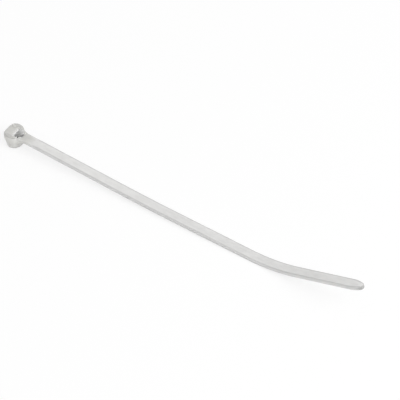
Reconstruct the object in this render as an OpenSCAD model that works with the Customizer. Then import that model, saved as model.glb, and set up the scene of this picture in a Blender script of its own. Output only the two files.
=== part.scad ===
// Bent-tail cable tie: a smooth nylon strap with a round slotted head and a steel locking barb.
// It lies at rest, inner side up, on the head's outer face and on the heel of the bend.
// The strap is first laid out level: X from the head's middle to the tail, Y across, Z to the
// inner side, with zero at the middle of the strap's thickness. at_rest() then tips it to its rest.

/* [Strap] */
// Straightened length, from the far end of the head to the tip of the tail
overall_len = 92.4; // [80:0.1:160]
// Width of the strap
strap_w = 2.45; // [2.1:0.05:2.7]
// Thickness of the strap
strap_t = 0.92; // [0.75:0.01:1.05]
// Rounding along the strap's long edges
edge_r = 0.2; // [0.1:0.01:0.28]
// Distance from the head's middle to the start of the strap's slight bow
bow_at = 27.5; // [15:0.5:30]
// Angle by which the bow turns the strap up to the inner side
bow_angle = 2.4; // [0.2:0.1:3]
// Radius of the bow
bow_r = 390; // [200:10:400]

/* [Tail] */
// Length of the tail, from the middle of the bend to the tip
tail_len = 22.3; // [14:0.1:28]
// Angle by which the bend turns the tail up to the inner side
bend_angle = 22; // [8:1:35]
// Radius of the bend at the middle of the strap's thickness
bend_r = 30.5; // [15:0.5:35]
// Length over which the tip narrows
tip_len = 2.75; // [2.2:0.05:5]
// Radius of the rounded nose at the very tip, seen from above
nose_r = 0.78; // [0.4:0.02:0.9]

/* [Head] */
// Largest width of the head, across the strap
head_w = 4.9; // [4.7:0.05:5.6]
// Distance from the head's middle to its far end
far_l = 2.35; // [2.25:0.05:2.8]
// Distance from the head's middle to its end at the neck
near_l = 2.35; // [2.25:0.05:2.6]
// Height of the head from its outer face to its inner face
head_h = 3.9; // [3.6:0.05:4.3]
// Rise of the head's cheeks over the strap's inner face
cheek_rise = 0.18; // [0.1:0.01:0.35]
// Depth of the head's widest level below the middle of the strap
belly_drop = 0.5; // [0.35:0.01:0.9]
// Radius of the bulge of the head's sides
side_bulge_r = 3.5; // [2.5:0.1:6]
// Taper of the head's sides above and below the bulge
side_taper = 8.5; // [5:0.5:12]
// Radius of the bulge of the head's far end
end_bulge_r = 1.9; // [1.6:0.05:2.6]
// Taper of the head's far end above and below the bulge
end_taper = 25; // [18:0.5:27]
// Rounding of the rim of the inner face
inner_rim_r = 0.27; // [0.15:0.01:0.35]
// Rounding of the rim of the outer face
outer_rim_r = 0.28; // [0.2:0.01:0.35]

/* [Neck] */
// Radius of the flare that widens the strap into the head
flare_r = 4; // [3.5:0.1:5]
// Radius of the web that thickens the neck on its outer side
web_r = 2.5; // [1.8:0.1:3]

/* [Slot] */
// Side clearance between the strap and the slot, on each side
slot_side_gap = 0.1; // [0.08:0.01:0.13]
// Room beside the strap's thickness at the mouth, on the inner side
mouth_room = 0.38; // [0.34:0.02:0.44]
// Room beside the strap's thickness at the exit, on the outer side
exit_room = 0.45; // [0.4:0.01:0.5]
// Distance from the head's middle to the middle of the mouth, towards the strap
mouth_shift = 1.15; // [1.1:0.01:1.18]
// Distance from the head's middle to the middle of the exit, towards the strap
exit_shift = 0.06; // [0.04:0.02:0.3]
// Depth of the saddle's floor below the strap's inner face, at the lip
saddle_drop = 0.04; // [0:0.02:0.2]
// Angle by which the saddle's floor falls from the lip to the far end of the head
saddle_fall = 8; // [3:0.5:12]
// Rounding of the lip that the returning strap slides over
lip_r = 0.35; // [0.2:0.05:0.5]
// Rounding of the mouth's rim on the strap side
rim_r = 0.25; // [0.1:0.05:0.35]
// Rounding of the exit's rim
exit_rim_r = 0.12; // [0.05:0.01:0.2]
// Rounding where the saddle runs off the far end of the head
saddle_r = 0.9; // [0.5:0.1:1.1]
// Rounding of the cheeks' inner edges
cheek_r = 0.08; // [0.04:0.01:0.12]

/* [Barb] */
// Width of the barb
barb_w = 1.5; // [1:0.05:1.8]
// Thickness of the barb
barb_t = 0.2; // [0.12:0.01:0.26]
// Angle of the barb to the strap
barb_angle = 43; // [40:1:48]
// Gap between the barb's edge and the far wall, less than the strap's thickness
barb_gap = 0.62; // [0.45:0.01:0.7]
// Depth of the barb's edge below the middle of the strap
barb_depth = 1.75; // [1.65:0.05:2]
// Whole length of the barb
barb_len = 2.75; // [2.65:0.05:2.85]
// Length of the bevel that sharpens the barb's edge
barb_bevel = 0.28; // [0.1:0.01:0.4]
// Width of the window in the neck that lays the barb's root open, less than the barb's width
window_w = 1.2; // [0.8:0.05:1.3]
// Length of the barb's root beyond the window
root_len = 0.35; // [0.3:0.01:0.5]

/* [Hidden] */

// Steps along rounded edges, bends, the tip, the neck and the head, and where the nose ends flat
edge_steps = 5;
rim_steps = 6;
bow_steps = 4;
bend_steps = 12;
tip_steps = 9;
nose_end = 5;
neck_steps = 16;
level_steps = 12;
round_steps = 64;

// Levels of the head, and a length that clears it
face_z = strap_t / 2;
inner_z = face_z + cheek_rise;
outer_z = inner_z - head_h;
saddle_z = face_z - saddle_drop;
clear = head_w;

// Points of a plan or a side view are pairs of numbers
function toward(angle) = [cos(angle), sin(angle)];
function turned(p, angle) = [p[0] * cos(angle) + p[1] * sin(angle), p[1] * cos(angle) - p[0] * sin(angle)];
function arc(centre, r, from, to, steps) =
  [for (i = [0:steps]) centre + r * toward(from + (to - from) * i / steps)];

// Arc that rounds the corner p on the way from one point to the next
function rounded(before, p, next, r) =
  let(
    a = atan2(before[1] - p[1], before[0] - p[0]),
    b = atan2(next[1] - p[1], next[0] - p[0]),
    turn = (b - a + 900) % 360 - 180,
    side = sign(turn),
    centre = p + r / sin(abs(turn) / 2) * toward(a + turn / 2),
    start = a - 90 * side
  )
  arc(centre, r, start, start - side * (180 - abs(turn)), rim_steps);

// Line of the strap, seen from the side: neck and run, bow, second run, bend and tail
half_w = strap_w / 2;
bow_arc = bow_r * bow_angle * PI / 180;
bend_arc = bend_r * bend_angle * PI / 180;
run_len = overall_len - far_l - tail_len - bend_arc / 2 - bow_at - bow_arc;
shank_len = tail_len - bend_arc / 2 - tip_len;
tail_angle = bow_angle + bend_angle;
bow_centre = [bow_at, bow_r];
bow_end = bow_centre + bow_r * toward(bow_angle - 90);
heel_centre = bow_end + run_len * toward(bow_angle) + bend_r * toward(bow_angle + 90);
tip_start = heel_centre + bend_r * toward(tail_angle - 90) + shank_len * toward(tail_angle);

// Reach of the head at level z: a bulge round the widest level, then a straight taper
function reach(widest, r, taper, z) =
  let(depth = abs(z + belly_drop), turn = r * sin(taper))
  depth < turn ? widest - r + sqrt(pow(r, 2) - pow(depth, 2))
  : widest - r * (1 - cos(taper)) - (depth - turn) * tan(taper);
function side_reach(z) = reach(head_w / 2, side_bulge_r, side_taper, z);
function near_reach(z) = reach(near_l, side_bulge_r, side_taper, z);
function far_reach(z) = reach(far_l, end_bulge_r, end_taper, z);

// Flare of the neck in plan, which touches the strap's side and the head at the strap's inner face
flare_y = half_w + flare_r;
flare_x = sqrt(pow(near_reach(face_z) + flare_r, 2) - pow(flare_y, 2));
flare_start = flare_x * near_reach(face_z) / (near_reach(face_z) + flare_r);
function flare(x) =
  x < flare_start ? flare(flare_start) - (flare_start - x)
  : x < flare_x ? flare_y - sqrt(pow(flare_r, 2) - pow(flare_x - x, 2))
  : half_w;

// Web of the neck, seen from the side, which touches the strap's outer face and the head's taper
web_z = -face_z - web_r;
web_x = near_reach(web_z) + web_r / cos(side_taper);
web_start = web_x - web_r * cos(side_taper);
function web(x) = x < web_x ? web_r - sqrt(pow(web_r, 2) - pow(web_x - max(x, web_start), 2)) : 0;

// Neck, from inside the head to the plain strap
neck_start = flare_start - edge_r * 2;
neck_end = max(flare_x, web_x);

// Walls of the slot, seen from the side: each runs from the mouth to the exit
slot_w = strap_w + 2 * slot_side_gap;
mouth_l = strap_t + mouth_room;
exit_l = strap_t + exit_room;
far_top = [mouth_shift - mouth_l / 2, face_z];
far_bottom = [exit_shift - exit_l / 2, outer_z];
neck_top = [mouth_shift + mouth_l / 2, face_z];
neck_bottom = [exit_shift + exit_l / 2, outer_z];
far_angle = atan2(far_top[1] - far_bottom[1], far_top[0] - far_bottom[0]);
function far_wall(z) = [far_top[0] + (z - far_top[1]) / tan(far_angle), z];

// Barb, seen from the side: its edge lies a gap away from the far wall
barb_edge = far_wall(-barb_depth) + [barb_gap / sin(far_angle), 0];

// Tip of the tail in plan: two long arcs run into the nose
nose_x = tip_len - nose_r;
ogive_r = (pow(nose_x, 2) + pow(half_w, 2) - pow(nose_r, 2)) / (2 * (half_w - nose_r));
ogive_angle = acos((ogive_r - half_w) / (ogive_r - nose_r));

// Rest: the line under the edge of the head's outer face and the bend's outer face is the floor
outer_edge = [near_reach(outer_z) - outer_rim_r, outer_z];
edge_to_heel = heel_centre - outer_edge;
rest_angle = atan2(edge_to_heel[1], edge_to_heel[0]) - asin((bend_r + strap_t / 2) / norm(edge_to_heel));
rest_lift = -turned(outer_edge, rest_angle)[1];

// Ends of the tie at rest, so that its middle stands over the origin
far_end_x = turned([end_bulge_r - far_l, -belly_drop], rest_angle)[0] - end_bulge_r;
tail_end = tip_start + (tip_len - edge_r) * toward(tail_angle);
tip_x = turned(tail_end, rest_angle)[0] + edge_r + (strap_t / 2 - edge_r) * sin(tail_angle - rest_angle);
middle_x = (far_end_x + tip_x) / 2;

module at_rest() {
  translate([-middle_x, 0, rest_lift]) rotate([0, rest_angle, 0]) children();
}

// Closed skin over a row of rings that have the same number of points
module skin(rings) {
  n = len(rings[0]);
  last = (len(rings) - 1) * n;
  polyhedron(
    points = [for (ring = rings) each ring],
    faces = concat(
      [[for (i = [0:n - 1]) i]],
      [[for (i = [n - 1:-1:0]) last + i]],
      [for (k = [0:n:last - n], i = [0:n - 1]) let(j = (i + 1) % n)
        each [[k + i, k + n + i, k + n + j], [k + i, k + n + j, k + j]]]
    )
  );
}

// Shapes drawn in side view, with their thickness across the strap
module across(w) {
  rotate([90, 0, 0]) translate([0, 0, -w / 2]) linear_extrude(w) children();
}

// Section across the strap: its half-width, inner and outer level, and how far its edges are rounded
// in from the side and down from the face, as pairs for the inner and the outer face
function corner(side, level, round_w, round_h, from) =
  [for (i = [0:edge_steps]) let(a = from + 90 * i / edge_steps)
    [side - sign(side) * round_w * (1 - abs(cos(a))), level - sign(level) * round_h * (1 - abs(sin(a)))]];
function section(half, inner, outer, round_w, round_h) = concat(
  corner(half, inner, min(edge_r, round_w), min(edge_r, round_h), 0),
  corner(-half, inner, min(edge_r, round_w), min(edge_r, round_h), 90),
  corner(-half, outer, round_w, round_h, 180),
  corner(half, outer, round_w, round_h, 270)
);

// Places a section at a point of the side view, square to the direction of the strap there
function placed(ring, place, angle) =
  [for (p = ring) [place[0] - p[1] * sin(angle), p[0], place[1] + p[1] * cos(angle)]];

// Station in the neck, where the edges of the web grow rounder towards the head
function neck_ring(x) =
  let(w = web(x))
  placed(
    section(flare(x), face_z, -face_z - w, min(edge_r + w, 0.8 * flare(x)), edge_r + 0.9 * w),
    [x, 0],
    0
  );

// Station in the tip, u along from its start, with the half-width there
function tip_ring(u, half) =
  let(
    over = max(0, u - (tip_len - edge_r)),
    level = face_z - edge_r + sqrt(max(0, pow(edge_r, 2) - pow(over, 2))),
    r = min(edge_r, half, level)
  )
  placed(section(half, level, -level, r, r), tip_start + u * toward(tail_angle), tail_angle);

plain_section = section(half_w, face_z, -face_z, edge_r, edge_r);

module strap() {
  skin(concat(
    [for (i = [0:neck_steps]) neck_ring(neck_end - (neck_end - neck_start) * cos(90 * i / neck_steps))],
    [for (i = [0:bow_steps]) let(a = bow_angle * i / bow_steps)
      placed(plain_section, bow_centre + bow_r * toward(a - 90), a)],
    [for (i = [0:bend_steps]) let(a = bow_angle + bend_angle * i / bend_steps)
      placed(plain_section, heel_centre + bend_r * toward(a - 90), a)],
    [for (i = [0:tip_steps]) let(a = ogive_angle * i / tip_steps)
      tip_ring(ogive_r * sin(a), half_w - ogive_r * (1 - cos(a)))],
    [for (i = [1:tip_steps]) let(a = 90 - ogive_angle - (90 - ogive_angle - nose_end) * i / tip_steps)
      tip_ring(nose_x + nose_r * cos(a), nose_r * sin(a))]
  ));
}

// Level of the head, drawn in at its rims
function head_ring(z, inset) =
  [for (i = [0:round_steps - 1])
    let(a = 360 * i / round_steps, end = cos(a) < 0 ? far_reach(z) : near_reach(z))
    [(end - inset) * cos(a), (side_reach(z) - inset) * sin(a), z]];

module head_blank() {
  low = outer_z + outer_rim_r;
  high = inner_z - inner_rim_r;
  skin(concat(
    [for (i = [0:rim_steps]) let(p = outer_rim_r * toward(90 * i / rim_steps))
      head_ring(low - p[0], outer_rim_r - p[1])],
    [for (i = [1:level_steps - 1]) head_ring(low + (high - low) * i / level_steps, 0)],
    [for (i = [0:rim_steps]) let(p = inner_rim_r * toward(90 * i / rim_steps))
      head_ring(high + p[1], inner_rim_r - p[0])]
  ));
}

// Saddle over the head, between the cheeks, that guides the returning strap to the mouth: its floor
// falls from the lip and then turns down into the bulge of the far end
module saddle_cut() {
  bulge = [end_bulge_r - far_l, -belly_drop];
  lip_place = [far_top[0], saddle_z];
  square = toward(90 + saddle_fall);
  under = (lip_place - bulge) * square - saddle_r;
  back = sqrt(pow(end_bulge_r - saddle_r, 2) - pow(under, 2));
  turn = bulge + under * square + back * toward(180 + saddle_fall);
  slope = 180 + atan((turn[1] - bulge[1]) / (turn[0] - bulge[0]));
  across(slot_w) polygon(concat(
    [turn + clear * toward(slope)],
    arc(turn, saddle_r, slope, 90 + saddle_fall, rim_steps),
    [lip_place, [far_top[0], face_z], [clear, face_z], [clear, clear], [-clear, 2 * clear]]
  ));
  wall = slot_w / 2;
  top = inner_z - cheek_r;
  rotate([90, 0, 90]) translate([0, 0, -clear]) linear_extrude(2 * clear)
    for (side = [0, 1]) mirror([side, 0]) polygon(concat(
      arc([wall + cheek_r, top], cheek_r, 180, 90, rim_steps),
      [[wall + cheek_r, clear], [wall - cheek_r, clear], [wall - cheek_r, top]]
    ));
}

module head() {
  difference() {
    head_blank();
    saddle_cut();
  }
}

// Way through the head, from the mouth on the inner side to the exit on the outer side
module slot_cut() {
  far_lip = far_wall(saddle_z);
  lip = rounded(far_lip - toward(saddle_fall), far_lip, far_bottom, lip_r);
  far_exit = rounded(far_top, far_bottom, far_bottom - [1, 0], exit_rim_r);
  neck_exit = rounded(neck_bottom + [1, 0], neck_bottom, neck_top, exit_rim_r);
  rim = rounded(neck_bottom, neck_top, neck_top + [1, 0], rim_r);
  across(slot_w) polygon(concat(
    [[lip[0][0], clear]],
    lip,
    far_exit,
    [[far_exit[rim_steps][0], -clear], [neck_exit[0][0], -clear]],
    neck_exit,
    rim,
    [[rim[rim_steps][0], clear]]
  ));
}

// Barb as a thin plate, bevelled to a sharp edge on its outer side
module barb_plate() {
  along = toward(barb_angle);
  up = toward(barb_angle + 90);
  across(barb_w) polygon([
    barb_edge,
    barb_edge + barb_len * along,
    barb_edge + barb_len * along - barb_t * up,
    barb_edge + barb_bevel * along - barb_t * up
  ]);
}

// Window in the neck over the barb, which runs on from the mouth; its floor lies inside the barb
module window_cut() {
  start = barb_edge + [barb_t, 0];
  root = start + (barb_len - root_len) * toward(barb_angle);
  corner = [root[0], face_z];
  rim = rounded(root, corner, corner + [1, 0], rim_r);
  across(window_w) polygon(concat(
    [start, root],
    rim,
    [[rim[rim_steps][0], clear], [start[0], clear]]
  ));
}

module tie_body() {
  color("gainsboro") at_rest() difference() {
    union() {
      head();
      strap();
    }
    slot_cut();
    window_cut();
    barb_plate();
  }
}

module locking_barb() {
  color("dimgray") at_rest() barb_plate();
}

tie_body();
locking_barb();
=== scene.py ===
import math

import bmesh
import bpy
from bpy.props import FloatProperty, FloatVectorProperty, PointerProperty
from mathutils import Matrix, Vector


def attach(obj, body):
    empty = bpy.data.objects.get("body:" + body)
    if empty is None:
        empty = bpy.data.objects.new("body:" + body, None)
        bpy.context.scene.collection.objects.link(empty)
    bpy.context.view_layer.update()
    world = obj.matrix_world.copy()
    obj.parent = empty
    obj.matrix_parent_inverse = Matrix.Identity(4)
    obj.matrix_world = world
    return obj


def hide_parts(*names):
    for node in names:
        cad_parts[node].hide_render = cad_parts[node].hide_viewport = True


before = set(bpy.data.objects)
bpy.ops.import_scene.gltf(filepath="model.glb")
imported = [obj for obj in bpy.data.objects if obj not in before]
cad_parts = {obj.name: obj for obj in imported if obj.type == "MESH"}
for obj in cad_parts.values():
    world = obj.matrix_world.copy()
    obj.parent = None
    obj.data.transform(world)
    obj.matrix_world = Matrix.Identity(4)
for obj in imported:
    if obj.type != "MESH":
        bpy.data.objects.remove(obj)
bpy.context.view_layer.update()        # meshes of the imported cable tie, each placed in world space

bl_info = {
    "name": "Bent-tail cable tie",
    "version": (1, 0, 0),
    "blender": (4, 5, 0),
    "location": "3D View > Sidebar > Cable tie",
    "description": "Dresses the packed cable tie in natural nylon and steel, on a white studio floor",
    "category": "Object",
}

MM = 0.001

# Places on the CAD shapes that the nylon's masks are measured from
HEAD_X = -43.2 * MM                                   # middle of the head
SLOT_X = HEAD_X + 1.15 * MM                           # middle of the slot
SLOT_REACH = 1.4 * MM                                 # from there to the slot's walls, with some room
SLOT_FLOOR, SLOT_ROOF = 0.2 * MM, 3.78 * MM           # heights that the slot's walls lie between
WALL_TILT = 0.5                                       # a wall's normal has less height than this
STRAP_WIDTH = 2.45 * MM
NOSE_X = 44.76 * MM                                   # middle of the round nose of the tail
NOSE_RADIUS = 0.78 * MM
TAIL_ANGLE = math.radians(18.3)                       # rise of the tail over the floor
TAPER_ANGLE = math.radians(12.2)                      # turn of each edge that tapers to the nose

# Starts and ends of soft fades, along the tie where nothing else is said
HEAD_FADE = (HEAD_X + 2.2 * MM, HEAD_X + 4.0 * MM)    # the head's painted shade on the rims and painted light on the sides end
THICK_FADE = (HEAD_X + 3.8 * MM, HEAD_X + 6.0 * MM)   # the darker, yellower colour of thick nylon ends
LINE_FADE = (HEAD_X + 4.6 * MM, HEAD_X + 7.0 * MM)    # the painted shade lines on the strap's edges start
TIP_FADE = (NOSE_X - 1.0 * MM, NOSE_X + 0.6 * MM)     # the painted shade line grows stronger round the tip
CHEEK_FADE = (1.3 * MM, 1.42 * MM)                    # the cheeks beside the slot start, across
LINE_FULL, LINE_WIDTH = 0.2 * MM, 0.45 * MM           # the painted shade line starts to fade and ends, inwards
UP_FADE = (0.1, 0.7)                                  # of the upward mask
RIM_FADE = (0.0, 0.3)                                 # of the sideways mask
RIM_STRENGTH = (0.45, 1.0)                            # of the rim's painted shade, on the flat and the round
TIP_STRENGTH = (0.12, 1.8)                            # of the painted shade line, along the tail and at its end
NOISE_SPREAD = (0.3, 0.7)                             # most of what a noise gives
ON, OFF = (0.0, 1.0), (1.0, 0.0)

# Nylon and steel
NYLON_IOR = 1.53
GRAIN_HEIGHT = 0.004 * MM
NODE_GRID = (220, -180)                               # spacing of nodes in the editor

# Meshes
MERGE_DISTANCE = 0.0005 * MM
FLAT_ANGLE = math.radians(0.4)                        # faces that turn less than this become one
CREASE_ANGLE = math.radians(38.0)                     # edges that turn less than this look smooth
BARB_EDGE_ANGLE = math.radians(30.0)                  # edges that turn more than this are rounded

# Stage, lengths in metres
FLOOR_HALF_SIZE = 3.0
FLOOR_SEEN = 0.3                                      # floor's own colour in the camera's eye
FLOOR_GLOW = 0.72                                     # light added to it there, to look white
LAMP_SIZE = 0.7
LAMP_REACH = 0.9
NEAR_CLIP = 0.01
SENSOR_WIDTH = 36.0                                   # this one in millimetres


# Sizes and colours that a user would change

class TieBodySettings(bpy.types.PropertyGroup):
    """Moulded nylon body"""
    colour: FloatVectorProperty(
        name="Strap colour",
        description="Colour of the natural nylon where it is thin",
        subtype="COLOR",
        default=(0.785, 0.782, 0.773),
        min=0.0,
        max=1.0,
    )
    # Head colour: yellower as thick nylon is, and darker as painted shade for the light that thick
    # nylon lets through less
    thick: FloatVectorProperty(
        name="Head colour",
        description="Yellower and darker colour of the nylon where it is thick",
        subtype="COLOR",
        default=(0.672, 0.668, 0.644),
        min=0.0,
        max=1.0,
    )
    # Painted shade: a darker line along the strap's edges and round its tip
    edge_shade: FloatProperty(
        name="Edge tone",
        description="How much darker the nylon looks along the strap's edges and round its tip",
        subtype="FACTOR",
        default=0.22,
        min=0.0,
        max=1.0,
    )
    # Painted shade: a darker band on the rounded top rim of the head
    rim_shade: FloatProperty(
        name="Rim tone",
        description="How much darker the nylon looks on the rounded top rim of the head",
        subtype="FACTOR",
        default=0.26,
        min=0.0,
        max=1.0,
    )
    # Painted light: the head's side faces made lighter, as if lit by light bounced up from the floor
    side_light: FloatProperty(
        name="Side tone",
        description="How much lighter the nylon looks on its side faces",
        subtype="FACTOR",
        default=0.18,
        min=0.0,
        max=0.5,
    )
    # Painted light: the slot's walls made lighter, against the shade that falls inside the slot
    slot_light: FloatProperty(
        name="Slot tone",
        description="How much lighter the polished walls of the slot are than the head",
        subtype="FACTOR",
        default=0.35,
        min=0.0,
        max=0.5,
    )
    roughness: FloatProperty(
        name="Roughness",
        description="Roughness of the moulded surface",
        subtype="FACTOR",
        default=0.46,
        min=0.0,
        max=1.0,
    )
    depth: FloatProperty(
        name="Light depth",
        description="How far light spreads inside the nylon",
        subtype="DISTANCE",
        unit="LENGTH",
        default=1.0 * MM,
        min=0.0,
        max=6.0 * MM,
    )


class TieBarbSettings(bpy.types.PropertyGroup):
    """Steel locking barb"""
    colour: FloatVectorProperty(
        name="Steel colour",
        description="Colour of the barb's steel",
        subtype="COLOR",
        default=(0.5, 0.5, 0.505),
        min=0.0,
        max=1.0,
    )
    rounding: FloatProperty(
        name="Edge rounding",
        description="Rounding of the barb's stamped edges",
        subtype="DISTANCE",
        unit="LENGTH",
        default=0.02 * MM,
        min=0.005 * MM,
        max=0.04 * MM,
    )
    roughness: FloatProperty(
        name="Roughness",
        description="Roughness of the steel",
        subtype="FACTOR",
        default=0.38,
        min=0.0,
        max=1.0,
    )


class TieStageSettings(bpy.types.PropertyGroup):
    """Floor, light and camera"""
    azimuth: FloatProperty(
        name="Azimuth",
        description="Turn of the camera round the tie, from the front towards the tail",
        subtype="ANGLE",
        unit="ROTATION",
        default=math.radians(31.79),
    )
    elevation: FloatProperty(
        name="Elevation",
        description="Height of the camera over the floor, as an angle",
        subtype="ANGLE",
        unit="ROTATION",
        default=math.radians(50.67),
    )
    distance: FloatProperty(
        name="Distance",
        description="Distance of the camera from the point that it looks at",
        subtype="DISTANCE",
        unit="LENGTH",
        default=367.7 * MM,
        min=100.0 * MM,
    )
    aim: FloatVectorProperty(
        name="Aim",
        description="Point that the camera looks at",
        subtype="XYZ",
        unit="LENGTH",
        default=(2.09 * MM, 6.23 * MM, 2.0 * MM),
    )
    lens: FloatProperty(
        name="Lens",
        description="Focal length in millimetres, for a sensor 36 mm wide",
        default=151.35,
        min=50.0,
    )
    sky: FloatProperty(
        name="Sky",
        description="Strength of the soft white light from straight above",
        default=0.98,
        min=0.0,
    )
    horizon: FloatProperty(
        name="Horizon",
        description="Strength of the soft light from low down on all sides",
        default=0.5,
        min=0.0,
    )
    key: FloatProperty(
        name="Key",
        description="Strength of the large soft lamp, as a colour that it adds to white",
        default=0.42,
        min=0.0,
    )
    key_azimuth: FloatProperty(
        name="Key azimuth",
        description="Turn of the lamp round the tie, from the front towards the tail",
        subtype="ANGLE",
        unit="ROTATION",
        default=math.radians(90.0),
    )
    key_elevation: FloatProperty(
        name="Key elevation",
        description="Height of the lamp over the floor, as an angle",
        subtype="ANGLE",
        unit="ROTATION",
        default=math.radians(42.0),
    )
    floor: FloatVectorProperty(
        name="Floor colour",
        description="Colour of the floor",
        subtype="COLOR",
        default=(0.92, 0.92, 0.92),
        min=0.0,
        max=1.0,
    )


# Node trees

def put(tree, kind, place, **values):
    """Adds a node at a place on the grid, with its settings."""
    node = tree.nodes.new(kind)
    node.location = (place[0] * NODE_GRID[0], place[1] * NODE_GRID[1])
    for name, value in values.items():
        setattr(node, name, value)
    return node


def wire(tree, *pairs):
    """Links sockets, given as pairs of an output and an input."""
    for source, target in pairs:
        tree.links.new(source, target)


def feed(tree, node, values):
    """Gives a node its first inputs in order, each a linked output or a constant."""
    for socket, value in zip(node.inputs, values):
        if isinstance(value, bpy.types.NodeSocket):
            wire(tree, (value, socket))
        else:
            socket.default_value = value


def number(tree, place, operation, *values):
    """Result of a Math node."""
    node = put(tree, "ShaderNodeMath", place, operation=operation)
    feed(tree, node, values)
    return node.outputs["Value"]


def vector(tree, place, operation, *values, result="Vector"):
    """Result of a Vector Math node."""
    node = put(tree, "ShaderNodeVectorMath", place, operation=operation)
    feed(tree, node, values)
    return node.outputs[result]


def combined(tree, place, *values):
    """Vector made of up to three values."""
    node = put(tree, "ShaderNodeCombineXYZ", place)
    feed(tree, node, values)
    return node.outputs["Vector"]


def separated(tree, place, where):
    """The X, Y and Z of a vector."""
    node = put(tree, "ShaderNodeSeparateXYZ", place)
    wire(tree, (where, node.inputs["Vector"]))
    return node.outputs["X"], node.outputs["Y"], node.outputs["Z"]


def mapped(tree, place, value, source, target):
    """Maps a value from one range to another, with a soft start and end."""
    node = put(tree, "ShaderNodeMapRange", place, interpolation_type="SMOOTHSTEP")
    feed(tree, node, (value, *source, *target))
    return node.outputs["Result"]


def product(tree, place, values):
    """Product of several values."""
    result = values[0]
    for value in values[1:]:
        result = number(tree, place, "MULTIPLY", result, value)
    return result


def seen_white(tree, place):
    """1 where the camera, a reflection or a clear material sees the stage, else 0."""
    path = put(tree, "ShaderNodeLightPath", place).outputs
    seen = path["Is Camera Ray"]
    for row, ray in enumerate(("Is Glossy Ray", "Is Transmission Ray")):
        seen = number(tree, (place[0] + 1, place[1] + row), "MAXIMUM", seen, path[ray])
    return seen


# Effects, each a node group that is built once

def new_group(name, inputs, outputs):
    """New node group with its named sockets, and its input and output nodes."""
    tree = bpy.data.node_groups.new(name, "ShaderNodeTree")
    for label, value in inputs.items():
        kind = "NodeSocketVector" if isinstance(value, tuple) else "NodeSocketFloat"
        socket = tree.interface.new_socket(name=label, in_out="INPUT", socket_type=kind)
        socket.default_value = value
    for label in outputs:
        tree.interface.new_socket(name=label, in_out="OUTPUT", socket_type="NodeSocketFloat")
    return tree, put(tree, "NodeGroupInput", (0, 0)), put(tree, "NodeGroupOutput", (11, 0))


def stretched_noise(tree, start, detail, roughness):
    """Noise in a group, from its Vector, Scale and Stretch inputs."""
    where = vector(tree, (1, 0), "MULTIPLY", start.outputs["Vector"], start.outputs["Stretch"])
    noise = put(tree, "ShaderNodeTexNoise", (2, 0))
    noise.inputs["Detail"].default_value = detail
    noise.inputs["Roughness"].default_value = roughness
    wire(tree, (where, noise.inputs["Vector"]), (start.outputs["Scale"], noise.inputs["Scale"]))
    return noise.outputs["Fac"]


def cloud_group():
    """Soft clouds in a material: a tone close to 1, and the cloud itself from 0 to 1."""
    tree, start, end = new_group(
        "soft clouds",
        {
            "Vector": (0.0, 0.0, 0.0),
            "Scale": 200.0,
            "Stretch": (1.0, 1.0, 1.0),
            "Amount": 0.03,
        },
        ("Tone", "Cloud"),
    )
    cloud = stretched_noise(tree, start, detail=3.0, roughness=0.55)
    centred = number(tree, (3, 0), "SUBTRACT", cloud, 0.5)
    tone = number(tree, (4, 0), "MULTIPLY_ADD", centred, start.outputs["Amount"], 1.0)
    wire(tree, (tone, end.inputs["Tone"]), (cloud, end.inputs["Cloud"]))
    return tree


def grain_group():
    """Fine grain of a surface as a height, stretched along one way by the Stretch vector."""
    tree, start, end = new_group(
        "fine grain",
        {
            "Vector": (0.0, 0.0, 0.0),
            "Scale": 8000.0,
            "Stretch": (1.0, 1.0, 1.0),
        },
        ("Height",),
    )
    height = stretched_noise(tree, start, detail=4.0, roughness=0.6)
    wire(tree, (height, end.inputs["Height"]))
    return tree


def edge_group():
    """Soft line along the two edges of the strap and round its tip, where shade is painted: 1 at the
    edge, 0 inside.
    """
    tree, start, end = new_group(
        "strap edges",
        {"Vector": (0.0, 0.0, 0.0), "Width": 0.3 * MM},
        ("Mask",),
    )
    x, y, _ = separated(tree, (1, 0), start.outputs["Vector"])
    across = number(tree, (2, 0), "ABSOLUTE", y)
    rise = math.cos(TAIL_ANGLE)
    along = number(tree, (2, 1), "MULTIPLY_ADD", x, 1 / rise, -NOSE_X / rise)
    spot = combined(tree, (3, 0), along, across)
    # Distance from the nose's middle, where only what lies ahead and outwards counts
    cosine, sine = math.cos(TAPER_ANGLE), math.sin(TAPER_ANGLE)
    ahead = vector(tree, (4, 0), "DOT_PRODUCT", spot, (cosine, -sine, 0.0), result="Value")
    aside = vector(tree, (4, 1), "DOT_PRODUCT", spot, (sine, cosine, 0.0), result="Value")
    past = combined(
        tree, (6, 0),
        number(tree, (5, 0), "MAXIMUM", ahead, 0.0),
        number(tree, (5, 1), "MAXIMUM", aside, 0.0),
    )
    away = vector(tree, (7, 0), "LENGTH", past, result="Value")
    from_nose = number(tree, (8, 0), "SUBTRACT", NOSE_RADIUS, away)
    from_side = number(tree, (8, 1), "SUBTRACT", STRAP_WIDTH / 2, across)
    nearest = number(tree, (9, 0), "MINIMUM", from_nose, from_side)
    mask = mapped(tree, (10, 0), nearest, (LINE_FULL, start.outputs["Width"]), OFF)
    wire(tree, (mask, end.inputs["Mask"]))
    return tree


def effect(tree, name, maker, place, where, **values):
    """Places a shared effect in a material, building its node group on first use."""
    group = bpy.data.node_groups.get(name) or maker()
    node = put(tree, "ShaderNodeGroup", place, node_tree=group)
    wire(tree, (where, node.inputs["Vector"]))
    for key, value in values.items():
        node.inputs[key].default_value = value
    return node.outputs


# Materials

def cleared_tree(owner):
    """Empty node tree of a new material or world."""
    owner.use_nodes = True
    owner.node_tree.nodes.clear()
    return owner.node_tree


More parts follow.
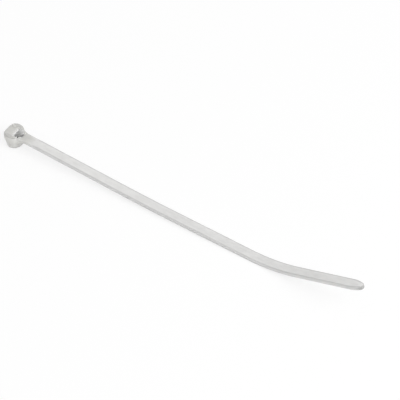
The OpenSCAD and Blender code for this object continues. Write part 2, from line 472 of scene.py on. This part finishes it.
def blank_material(name):
    """New material with a Principled BSDF and object coordinates."""
    material = bpy.data.materials.new(name)
    tree = cleared_tree(material)
    out = put(tree, "ShaderNodeOutputMaterial", (8, 0))
    shader = put(tree, "ShaderNodeBsdfPrincipled", (7, 0))
    where = put(tree, "ShaderNodeTexCoord", (0, 0)).outputs["Object"]
    wire(tree, (shader.outputs["BSDF"], out.inputs["Surface"]))
    return material, tree, shader, where


def toned(tree, shader, place, colour, tone):
    """Feeds a colour, times a tone, to the shader's base colour."""
    node = put(tree, "ShaderNodeVectorMath", place, operation="SCALE")
    feed(tree, node, (colour,))
    wire(tree, (tone, node.inputs["Scale"]), (node.outputs["Vector"], shader.inputs["Base Color"]))


def roughened(tree, shader, place, noise, low, high):
    """Feeds a noise to the shader's roughness, between two ends."""
    gloss = mapped(tree, place, noise, NOISE_SPREAD, (low, high))
    wire(tree, (gloss, shader.inputs["Roughness"]))


def bumped(tree, shader, place, height, strength):
    """Feeds a fine height through a Bump node to the shader's normal."""
    bump = put(tree, "ShaderNodeBump", place)
    bump.inputs["Distance"].default_value = GRAIN_HEIGHT
    bump.inputs["Strength"].default_value = strength
    wire(tree, (height, bump.inputs["Height"]), (bump.outputs["Normal"], shader.inputs["Normal"]))


def nylon_material(settings):
    """Natural nylon: milky and cloudy, yellower where thick, with painted shade where thick, along the
    strap's edges and on the head's rims, and painted light on the head's sides and the slot's walls.
    """
    material, tree, shader, where = blank_material("natural nylon")
    cloud = effect(tree, "soft clouds", cloud_group, (1, 0), where, Scale=160.0, Amount=0.06)
    speck = effect(
        tree, "soft clouds", cloud_group, (1, 1), where,
        Scale=900.0, Stretch=(0.5, 1.5, 1.0), Amount=0.2,
    )
    grain = effect(tree, "fine grain", grain_group, (1, 2), where, Scale=6000.0)
    # Mask of the painted shade line on the strap's edges and round its tip
    line = effect(tree, "strap edges", edge_group, (1, 3), where, Width=LINE_WIDTH)["Mask"]
    up, side, slot = (
        put(tree, "ShaderNodeAttribute", (1, 4 + row), attribute_name=name).outputs["Fac"]
        for row, name in enumerate(("up", "side", "slot"))
    )
    x, y, _ = separated(tree, (1, 7), where)
    across = number(tree, (2, 9), "ABSOLUTE", y)
    top = mapped(tree, (2, 4), up, UP_FADE, ON)
    head = mapped(tree, (2, 6), x, HEAD_FADE, OFF)
    thin = mapped(tree, (2, 7), x, THICK_FADE, ON)
    strap = mapped(tree, (2, 8), x, LINE_FADE, ON)
    rim = mapped(tree, (2, 10), side, RIM_FADE, RIM_STRENGTH)
    tip = mapped(tree, (2, 11), x, TIP_FADE, TIP_STRENGTH)
    cheek = mapped(tree, (3, 9), across, CHEEK_FADE, ON)
    top_or_tip = number(tree, (3, 4), "MAXIMUM", top, tip)
    # Painted shade and light, as changes to the colour: shade along the strap's edges and on the
    # head's top rims, light on the head's sides and on the slot's walls
    painted_tones = (
        (-settings.edge_shade, (line, strap, top_or_tip)),
        (-settings.rim_shade, (cheek, head, top, rim)),
        (settings.side_light, (side, head)),
        (settings.slot_light, (slot,)),
    )
    tone = product(tree, (3, 1), (cloud["Tone"], speck["Tone"]))
    for row, (amount, masks) in enumerate(painted_tones, start=2):
        mask = product(tree, (4, row), masks)
        change = number(tree, (5, row), "MULTIPLY_ADD", mask, amount, 1.0)
        tone = product(tree, (6, row), (tone, change))
    # Thick nylon's colour, yellower and partly painted shade, fades to the strap's colour along the
    # tie
    colour = put(tree, "ShaderNodeMix", (3, 0), data_type="RGBA")
    colour.inputs["A"].default_value = (*settings.thick, 1.0)
    colour.inputs["B"].default_value = (*settings.colour, 1.0)
    wire(tree, (thin, colour.inputs["Factor"]))
    toned(tree, shader, (6, 0), colour.outputs["Result"], tone)
    rough = settings.roughness
    roughened(tree, shader, (4, 1), cloud["Cloud"], rough - 0.05, rough + 0.06)
    bumped(tree, shader, (5, 6), grain["Height"], 0.25)
    shader.inputs["IOR"].default_value = NYLON_IOR
    shader.inputs["Subsurface Weight"].default_value = 1.0
    shader.inputs["Subsurface Radius"].default_value = (1.0, 1.0, 1.0)
    shader.inputs["Subsurface Scale"].default_value = settings.depth
    return material


def steel_material(settings):
    """Stamped spring steel with a fine brushed grain across its width."""
    material, tree, shader, where = blank_material("barb steel")
    cloud = effect(tree, "soft clouds", cloud_group, (1, 0), where, Scale=900.0, Amount=0.3)
    grain = effect(
        tree, "fine grain", grain_group, (1, 1), where,
        Scale=9000.0, Stretch=(1.0, 0.08, 1.0),
    )
    toned(tree, shader, (3, 0), settings.colour, cloud["Tone"])
    rough = settings.roughness
    roughened(tree, shader, (3, 1), grain["Height"], rough - 0.08, rough + 0.1)
    bumped(tree, shader, (5, 2), grain["Height"], 0.5)
    shader.inputs["Metallic"].default_value = 1.0
    return material


def floor_material(settings):
    """Pale floor that looks white and keeps the tie's shadow."""
    material = bpy.data.materials.new("studio floor")
    tree = cleared_tree(material)
    out = put(tree, "ShaderNodeOutputMaterial", (6, 0))
    surface = put(tree, "ShaderNodeBsdfDiffuse", (4, 0))
    glow = put(tree, "ShaderNodeEmission", (4, 1))
    both = put(tree, "ShaderNodeAddShader", (5, 0))
    seen = seen_white(tree, (1, 1))
    colour = put(tree, "ShaderNodeMix", (3, 0), data_type="RGBA")
    colour.inputs["A"].default_value = (*settings.floor, 1.0)
    colour.inputs["B"].default_value = (FLOOR_SEEN, FLOOR_SEEN, FLOOR_SEEN, 1.0)
    wire(
        tree,
        (seen, colour.inputs["Factor"]),
        (colour.outputs["Result"], surface.inputs["Color"]),
        (number(tree, (3, 1), "MULTIPLY", seen, FLOOR_GLOW), glow.inputs["Strength"]),
        (surface.outputs["BSDF"], both.inputs[0]),
        (glow.outputs["Emission"], both.inputs[1]),
        (both.outputs["Shader"], out.inputs["Surface"]),
    )
    return material


# Meshes and objects

def merged_node(node):
    """Copy of a CAD node's loose triangles, merged into clean faces."""
    shape = bmesh.new()
    shape.from_mesh(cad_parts[node].data)
    bmesh.ops.remove_doubles(shape, verts=shape.verts, dist=MERGE_DISTANCE)
    bmesh.ops.dissolve_limit(
        shape,
        angle_limit=FLAT_ANGLE,
        use_dissolve_boundaries=False,
        verts=shape.verts,
        edges=shape.edges,
        delimit=set(),
    )
    return shape


def round_edges(shape, offset, angle):
    """Rounds the edges that are sharper than an angle."""
    sharp = [edge for edge in shape.edges if edge.is_manifold and edge.calc_face_angle() > angle]
    bmesh.ops.bevel(
        shape,
        geom=sharp,
        offset=offset,
        offset_type="OFFSET",
        affect="EDGES",
        segments=2,
        profile=0.5,
        material=-1,
        clamp_overlap=True,
    )


def mark_body(shape):
    """Writes three masks, which place the nylon's painted shade and painted light: how far the body
    faces up and sideways, and the slot's walls.
    """
    up = shape.verts.layers.float.new("up")
    side = shape.verts.layers.float.new("side")
    slot = shape.faces.layers.float.new("slot")
    shape.normal_update()
    for vert in shape.verts:
        vert[up] = max(vert.normal.z, 0.0)
        vert[side] = 1 - abs(vert.normal.z)
    for face in shape.faces:
        centre = face.calc_center_median()
        inward = Vector((SLOT_X - centre.x, -centre.y, 0.0))
        near = max(abs(inward.x), abs(inward.y)) < SLOT_REACH
        upright = abs(face.normal.z) < WALL_TILT
        if near and SLOT_FLOOR < centre.z < SLOT_ROOF and upright and inward.dot(face.normal) > 0:
            face[slot] = 1.0


def added(name, data):
    """New object in the scene."""
    thing = bpy.data.objects.new(name, data)
    bpy.context.scene.collection.objects.link(thing)
    return thing


def meshed(name, shape, material):
    """New object in the scene from a shape, which is used up."""
    mesh = bpy.data.meshes.new(name)
    shape.to_mesh(mesh)
    shape.free()
    mesh.materials.append(material)
    return added(name, mesh)


def placed_piece(shape, name, node, material):
    """Makes the object of a piece that stands for a CAD node."""
    for face in shape.faces:
        face.smooth = True
    for edge in shape.edges:
        edge.smooth = not edge.is_manifold or edge.calc_face_angle() < CREASE_ANGLE
    piece = meshed(name, shape, material)
    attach(piece, "root")
    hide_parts(node)


def towards(azimuth, elevation):
    """Direction from the tie, turned from the front towards the tail and lifted off the floor."""
    flat = math.cos(elevation)
    return Vector((math.sin(azimuth) * flat, -math.cos(azimuth) * flat, math.sin(elevation)))


def looking(away):
    """Turn of a lamp or camera that stands in a direction and looks back along it."""
    return (-away).to_track_quat("-Z", "Y").to_euler()


# Operators

class OBJECT_OT_tie_body(bpy.types.Operator):
    """Make the moulded nylon body: strap, bent tail and slotted head"""
    bl_idname = "object.tie_body"
    bl_label = "Moulded body"

    def execute(self, context):
        settings = context.scene.tie_body
        shape = merged_node("tie_body")
        mark_body(shape)
        placed_piece(shape, "moulded_body", "tie_body", nylon_material(settings))
        return {"FINISHED"}


class OBJECT_OT_tie_barb(bpy.types.Operator):
    """Make the steel barb that locks the strap in the head"""
    bl_idname = "object.tie_barb"
    bl_label = "Locking barb"

    def execute(self, context):
        settings = context.scene.tie_barb
        shape = merged_node("locking_barb")
        round_edges(shape, settings.rounding, BARB_EDGE_ANGLE)
        placed_piece(shape, "steel_barb", "locking_barb", steel_material(settings))
        return {"FINISHED"}


class OBJECT_OT_tie_stage(bpy.types.Operator):
    """Set up the white floor, the soft light and the camera"""
    bl_idname = "object.tie_stage"
    bl_label = "Stage"

    def execute(self, context):
        settings = context.scene.tie_stage
        self.lay_floor(settings)
        self.surround(context, settings)
        self.light(settings)
        self.place_camera(context, settings)
        context.scene.view_settings.view_transform = "Standard"
        return {"FINISHED"}

    def lay_floor(self, settings):
        """Pale floor under the tie."""
        shape = bmesh.new()
        bmesh.ops.create_grid(shape, x_segments=1, y_segments=1, size=FLOOR_HALF_SIZE)
        floor = meshed("floor", shape, floor_material(settings))

    def surround(self, context, settings):
        """Even white surroundings, brighter from above than from low down."""
        world = bpy.data.worlds.new("white studio")
        context.scene.world = world
        tree = cleared_tree(world)
        out = put(tree, "ShaderNodeOutputWorld", (6, 0))
        background = put(tree, "ShaderNodeBackground", (5, 0))
        strength = put(tree, "ShaderNodeMix", (4, 0), data_type="FLOAT")
        strength.inputs["B"].default_value = 1.0
        where = put(tree, "ShaderNodeTexCoord", (1, 2)).outputs["Generated"]
        _, _, height = separated(tree, (2, 2), where)
        sky = mapped(tree, (3, 2), height, (0.0, 1.0), (settings.horizon, settings.sky))
        wire(
            tree,
            (sky, strength.inputs["A"]),
            (seen_white(tree, (1, 0)), strength.inputs["Factor"]),
            (strength.outputs["Result"], background.inputs["Strength"]),
            (background.outputs["Background"], out.inputs["Surface"]),
        )

    def light(self, settings):
        """One large soft lamp, whose power makes a white surface that faces it key brighter."""
        lamp = bpy.data.lights.new("key", "AREA")
        lamp.shape = "DISK"
        lamp.size = LAMP_SIZE
        lamp.energy = settings.key * (math.pi * LAMP_REACH) ** 2
        key = added("key", lamp)
        key.location = towards(settings.key_azimuth, settings.key_elevation) * LAMP_REACH
        key.rotation_euler = looking(key.location)

    def place_camera(self, context, settings):
        """Camera at the photograph's viewing angle."""
        lens = bpy.data.cameras.new("camera")
        lens.sensor_width = SENSOR_WIDTH
        lens.lens = settings.lens
        lens.clip_start = NEAR_CLIP
        camera = added("camera", lens)
        away = towards(settings.azimuth, settings.elevation)
        camera.location = Vector(settings.aim) + away * settings.distance
        camera.rotation_euler = looking(away)
        context.scene.camera = camera


class VIEW3D_PT_tie(bpy.types.Panel):
    """Pieces of the cable tie and their settings"""
    bl_idname = "VIEW3D_PT_tie"
    bl_label = "Cable tie"
    bl_space_type = "VIEW_3D"
    bl_region_type = "UI"
    bl_category = "Cable tie"

    def draw(self, context):
        for settings, operator in PIECES:
            group = getattr(context.scene, settings)
            box = self.layout.box()
            for name in group.bl_rna.properties.keys():
                if name not in ("rna_type", "name"):
                    box.prop(group, name)
            box.operator(operator)


SETTINGS = {
    "tie_body": TieBodySettings,
    "tie_barb": TieBarbSettings,
    "tie_stage": TieStageSettings,
}
PIECES = (
    ("tie_body", "object.tie_body"),
    ("tie_barb", "object.tie_barb"),
    ("tie_stage", "object.tie_stage"),
)
CLASSES = (
    *SETTINGS.values(),
    OBJECT_OT_tie_body,
    OBJECT_OT_tie_barb,
    OBJECT_OT_tie_stage,
    VIEW3D_PT_tie,
)


def register():
    for cls in CLASSES:
        bpy.utils.register_class(cls)
    for name, cls in SETTINGS.items():
        setattr(bpy.types.Scene, name, PointerProperty(type=cls))


def unregister():
    for name in SETTINGS:
        delattr(bpy.types.Scene, name)
    for cls in reversed(CLASSES):
        bpy.utils.unregister_class(cls)


def main():
    register()
    bpy.ops.object.tie_body()
    bpy.ops.object.tie_barb()
    bpy.ops.object.tie_stage()


if __name__ == "__main__":
    main()
